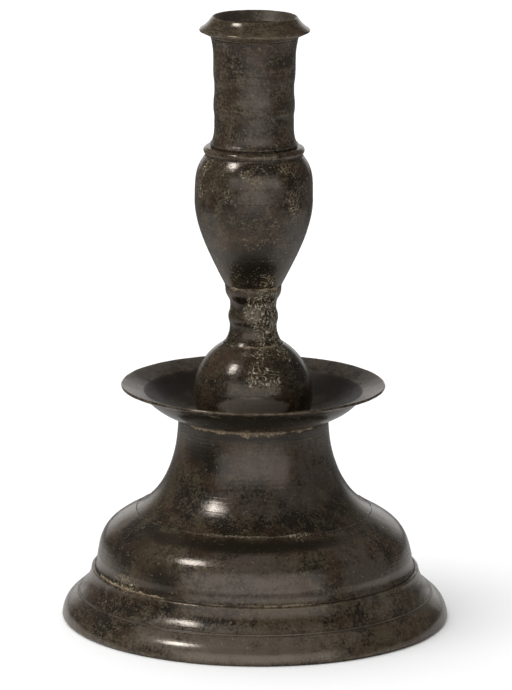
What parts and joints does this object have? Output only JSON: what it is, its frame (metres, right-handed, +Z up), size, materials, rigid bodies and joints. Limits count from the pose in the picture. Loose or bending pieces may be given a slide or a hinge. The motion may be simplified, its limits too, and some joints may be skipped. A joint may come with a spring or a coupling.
{
  "type": "candlestick",
  "caption": "Stem candlestick in dark pewter: moulded foot, hollow bell, drip pan, round knop, small waist knop, hollow vase and a straight candle socket with a flanged lip.",
  "frame": {"origin": "centre of the foot, on the surface that the candlestick stands on", "axes": "+Z up the stem, through the middle of the candle socket; the rest is turned round it"},
  "size_m": [0.1492, 0.1492, 0.2344],
  "materials": {
    "pewter": "cast and turned pewter under a dark brown, semi-gloss skin with paler specks",
    "solder": "dull tan-grey solder and crust in the seams"
  },
  "bodies": {
    "root": {"foot_ring": "pewter", "bell_body": "pewter", "bell_neck": "pewter", "drip_pan": "pewter", "dome_knop": "pewter", "waist_knop": "pewter", "baluster_lower": "pewter", "baluster_upper": "pewter", "socket_tube": "pewter", "socket_lip": "pewter", "candle_seat": "pewter", "solder_foot_to_bell": "solder", "solder_bell_to_neck": "solder", "solder_neck_to_pan": "solder", "solder_pan_to_dome": "solder", "solder_dome_to_waist": "solder", "solder_waist_to_baluster": "solder", "solder_baluster_halves": "solder", "solder_baluster_to_socket": "solder", "solder_candle_seat": "solder", "solder_socket_to_lip": "solder"}
  },
  "joints": []
}
